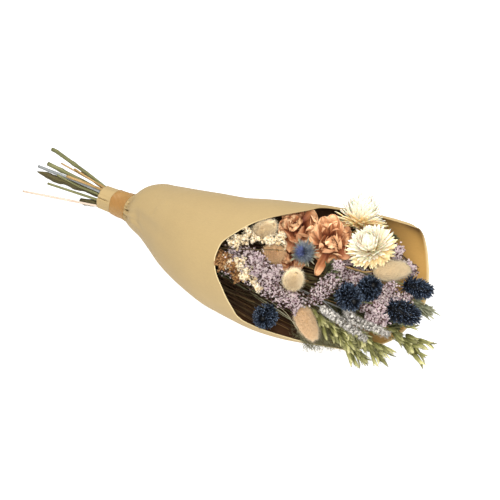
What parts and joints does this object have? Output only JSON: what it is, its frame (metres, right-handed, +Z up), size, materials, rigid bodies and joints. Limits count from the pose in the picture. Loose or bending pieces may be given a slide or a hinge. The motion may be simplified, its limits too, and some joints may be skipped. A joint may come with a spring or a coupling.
{
  "type": "dried flower bouquet in a paper sleeve",
  "caption": "Mixed dried flowers and grasses tied by their stems and wrapped in a cone of brown kraft paper, lying on its side.",
  "frame": {"origin": "centre of the bottom of the bounding box, on the surface the bouquet lies on", "axes": "+X from the cut stems to the flowers, +Z up from the surface, -Y towards the open side of the sleeve"},
  "size_m": [0.492, 0.1584, 0.1403],
  "materials": {
    "kraft_paper": "matt, fine fibres, soft creases",
    "paper_tape": "satin, wrinkled across the band",
    "bunny_tail": "soft fine bristles",
    "strawflower": "dry papery bracts with a slight sheen",
    "peach_petal": "thin dry petals, veined",
    "thistle": "matt, spiny",
    "navy_seed_head": "matt dyed husks",
    "straw_stem": "matt, lengthwise fibres",
    "green_stem": "matt, lengthwise ribs",
    "limonium": "matt, tiny papery florets",
    "cream_floret": "matt, tiny papery florets",
    "brown_floret": "matt, tiny dry florets",
    "lavender_wool": "woolly, silvery",
    "oat_husk": "dry husks with a slight sheen",
    "grey_wisp": "matt, hair thin",
    "leaf": "dry leaf, veined"
  },
  "bodies": {
    "root": {"paper_sleeve": "kraft_paper", "tape_band": "paper_tape", "bunny_tail_1": "bunny_tail", "bunny_tail_2": "bunny_tail", "bunny_tail_3": "bunny_tail", "bunny_tail_4": "bunny_tail", "bunny_tail_5": "bunny_tail", "strawflower_1": "strawflower", "strawflower_2": "strawflower", "peach_bloom_1": "peach_petal", "peach_bloom_2": "peach_petal", "peach_bloom_3": "peach_petal", "thistle": "thistle", "canary_grass_1": "navy_seed_head", "canary_grass_2": "navy_seed_head", "canary_grass_3": "navy_seed_head", "canary_grass_4": "navy_seed_head", "canary_grass_5": "navy_seed_head", "bunny_tail_1_stem": "straw_stem", "bunny_tail_2_stem": "straw_stem", "bunny_tail_3_stem": "straw_stem", "bunny_tail_4_stem": "straw_stem", "bunny_tail_5_stem": "straw_stem", "strawflower_1_stem": "straw_stem", "strawflower_2_stem": "straw_stem", "peach_bloom_1_stem": "green_stem", "peach_bloom_2_stem": "green_stem", "peach_bloom_3_stem": "green_stem", "thistle_stem": "green_stem", "canary_grass_1_stem": "green_stem", "canary_grass_2_stem": "green_stem", "canary_grass_3_stem": "green_stem", "canary_grass_4_stem": "green_stem", "canary_grass_5_stem": "green_stem", "limonium_1": "limonium", "limonium_2": "limonium", "limonium_3": "limonium", "limonium_4": "limonium", "limonium_5": "limonium", "limonium_6": "limonium", "cream_1": "cream_floret", "cream_2": "cream_floret", "brown_1": "brown_floret", "lavender_1": "lavender_wool", "lavender_2": "lavender_wool", "oats_1": "oat_husk", "oats_2": "oat_husk", "oats_3": "oat_husk", "oats_4": "oat_husk", "wisp_1": "grey_wisp", "wisp_2": "grey_wisp", "leaf_1": "leaf", "leaf_2": "leaf", "leaf_3": "leaf", "leaf_4": "leaf", "leaf_5": "leaf"}
  },
  "joints": []
}
